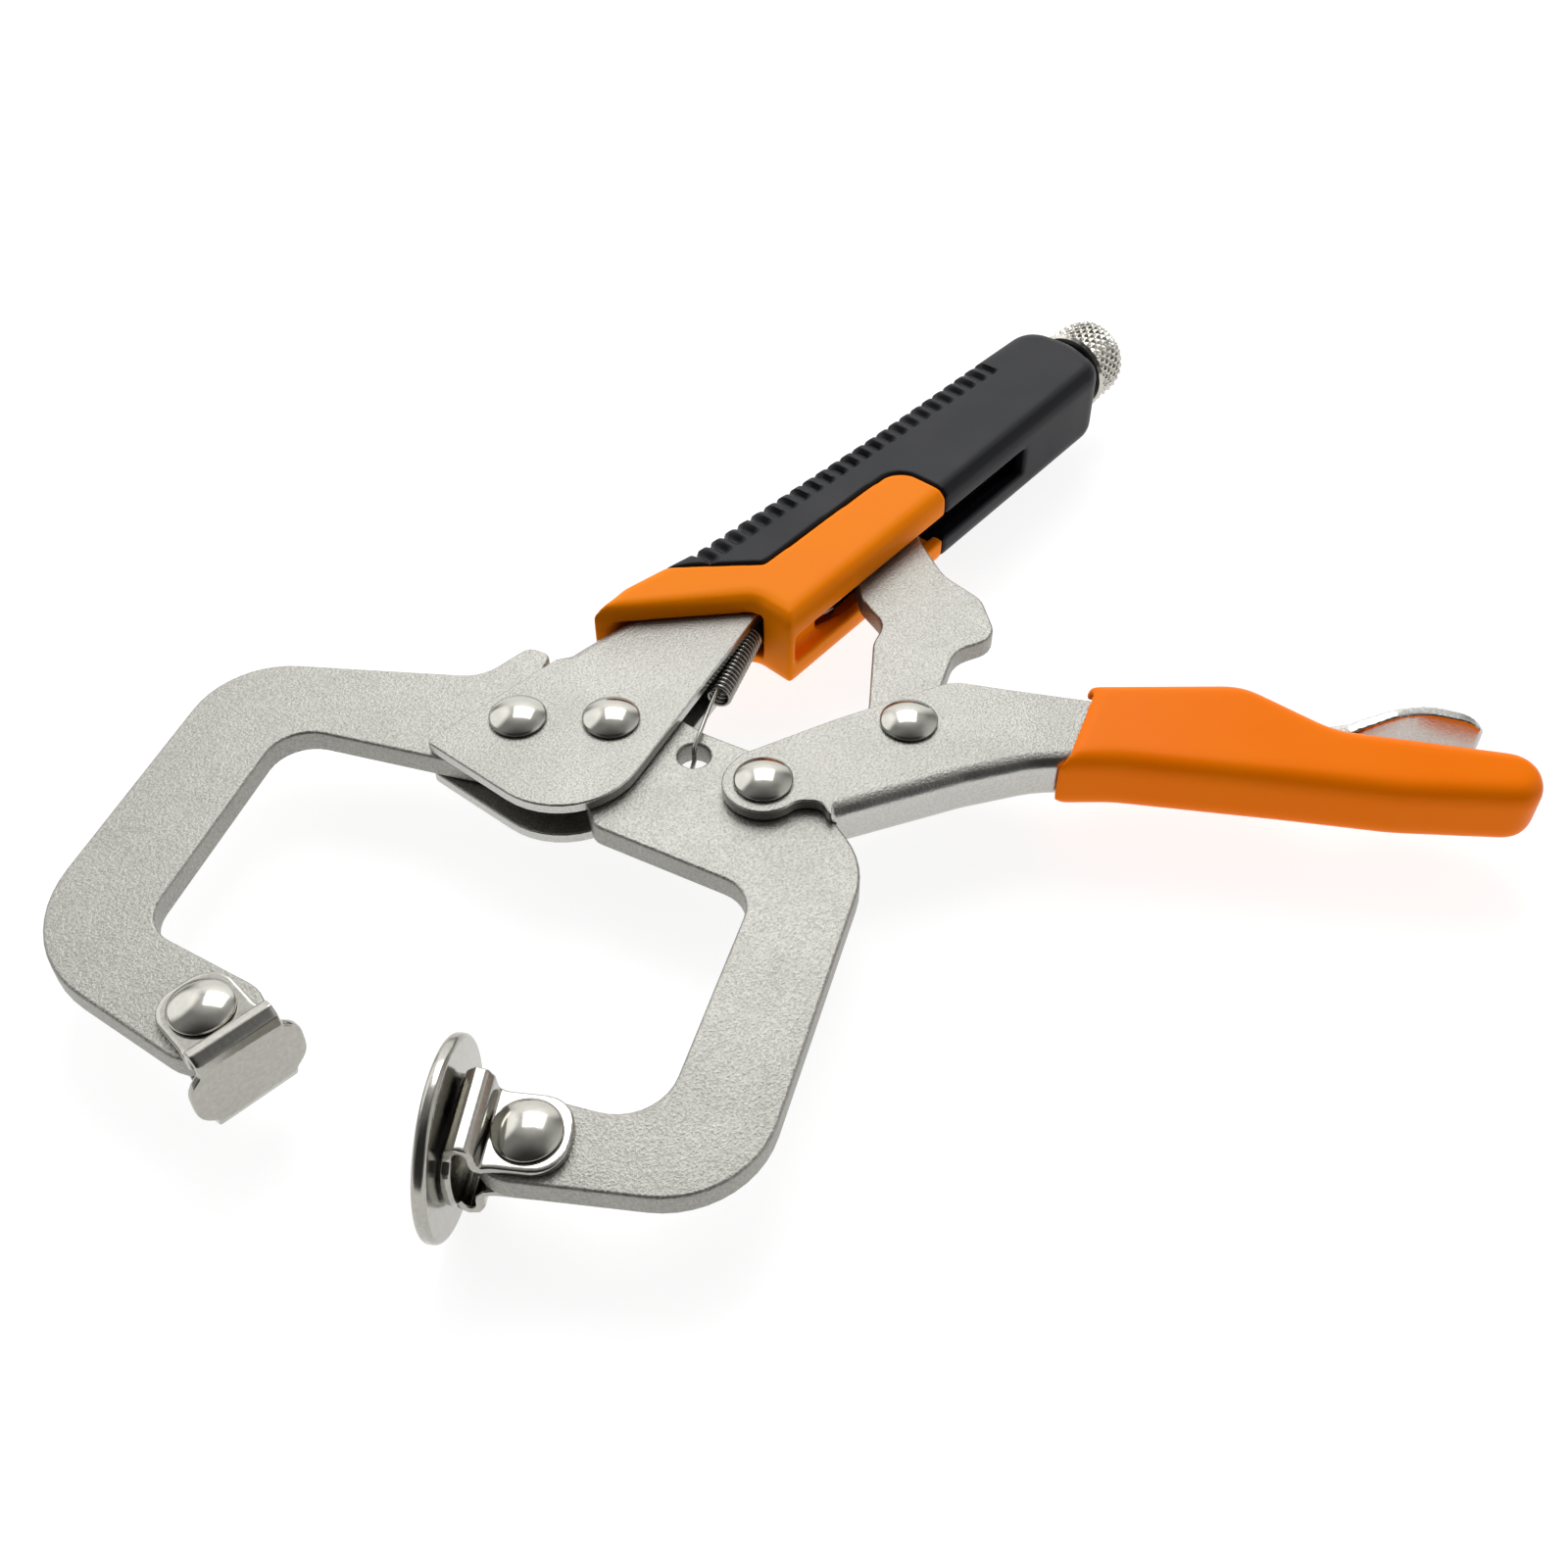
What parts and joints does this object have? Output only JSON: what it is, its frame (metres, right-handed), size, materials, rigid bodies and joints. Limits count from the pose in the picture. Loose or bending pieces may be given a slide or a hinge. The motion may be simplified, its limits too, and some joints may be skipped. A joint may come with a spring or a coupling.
{
  "type": "locking pliers",
  "caption": "C-clamp locking pliers with two swivel pads, a toggle linkage, screw adjustment, a release lever and plastic grips.",
  "frame": {"origin": "middle of the tool's bounding box at the surface it lies on", "axes": "+X along the fixed handle towards its adjusting knob, +Y towards the fixed jaw's outer side, +Z along the rivets"},
  "size_m": [0.251, 0.1926, 0.03],
  "materials": {
    "satin_nickel": "satin nickel plate over blasted steel",
    "polished_rivet": "polished nickel",
    "polished_pad": "bright nickel plate, slightly worn",
    "knurled_nickel": "nickel plate over a diamond knurl",
    "zinc_screw": "plain zinc-plated steel",
    "spring_wire": "drawn steel wire",
    "black_grip": "matt moulded thermoplastic rubber",
    "orange_grip": "satin moulded plastic",
    "orange_sleeve": "dipped vinyl, satin"
  },
  "bodies": {
    "frame": {"fixed_handle_channel": "satin_nickel", "fixed_jaw": "satin_nickel", "fixed_jaw_rivet": "polished_rivet", "jaw_pivot_rivet": "polished_rivet", "spring_anchor_pin": "zinc_screw", "return_spring": "spring_wire", "upper_grip_black": "black_grip", "upper_grip_orange": "orange_grip", "fixed_pad_rivet": "polished_rivet"},
    "moving_jaw": {"moving_jaw": "satin_nickel", "handle_pivot_rivet": "polished_rivet", "moving_pad_rivet": "polished_rivet"},
    "lower_handle": {"lower_handle": "satin_nickel", "link_rivet": "polished_rivet", "lower_grip_sleeve": "orange_sleeve", "release_lever_pin": "zinc_screw"},
    "toggle_link": {"toggle_link": "satin_nickel"},
    "release_lever": {"release_lever": "satin_nickel"},
    "adjusting_screw": {"adjusting_screw": "zinc_screw"},
    "adjusting_knob": {"adjusting_knob": "knurled_nickel"},
    "fixed_pad": {"fixed_pad_bracket": "polished_pad"},
    "moving_pad": {"moving_pad_bracket": "polished_pad", "moving_pad_disc": "polished_pad"}
  },
  "joints": [
    {"name": "jaw_close", "type": "hinge", "parent": "frame", "child": "moving_jaw", "pos_m": [-0.03192, 0.03478, 0.015], "axis": [0, 0, 1], "range_deg": [-16.1, 0], "stiffness_Nm_per_rad": 0.18, "springref_deg": 34.38, "deforming": ["return_spring"]},
    {"name": "handle_squeeze", "type": "hinge", "parent": "moving_jaw", "child": "lower_handle", "pos_m": [-0.02642, 0.00518, 0.015], "axis": [0, 0, 1], "range_deg": [0, 55.7]},
    {"name": "link_fold", "type": "hinge", "parent": "lower_handle", "child": "toggle_link", "pos_m": [0.00015, -0.00519, 0.015], "axis": [0, 0, 1], "range_deg": [-62.4, 0]},
    {"name": "release_press", "type": "hinge", "parent": "lower_handle", "child": "release_lever", "pos_m": [0.02532, -0.03966, 0.015], "axis": [0, 0, 1], "range_deg": [-4, 0]},
    {"name": "screw_travel", "type": "slide", "parent": "frame", "child": "adjusting_screw", "axis": [1, 0, 0], "range_m": [0, 0.0096]},
    {"name": "knob_turn", "type": "hinge", "parent": "adjusting_screw", "child": "adjusting_knob", "pos_m": [0.11878, 0.03508, 0.015], "axis": [1, 0, 0], "range_deg": [0, 4320]},
    {"name": "fixed_pad_swivel", "type": "hinge", "parent": "frame", "child": "fixed_pad", "pos_m": [-0.11472, 0.04048, 0.015], "axis": [0, 0, 1], "range_deg": [-8, 25]},
    {"name": "moving_pad_swivel", "type": "hinge", "parent": "moving_jaw", "child": "moving_pad", "pos_m": [-0.09882, -0.01212, 0.015], "axis": [0, 0, 1], "range_deg": [-20, 15]}
  ],
  "couplings": [
    {"joint": "jaw_close", "follows": "handle_squeeze", "ratio": -0.2873},
    {"joint": "link_fold", "follows": "handle_squeeze", "ratio": -1.1185},
    {"joint": "screw_travel", "follows": "knob_turn", "m_per_rad": 0.00012732}
  ]
}
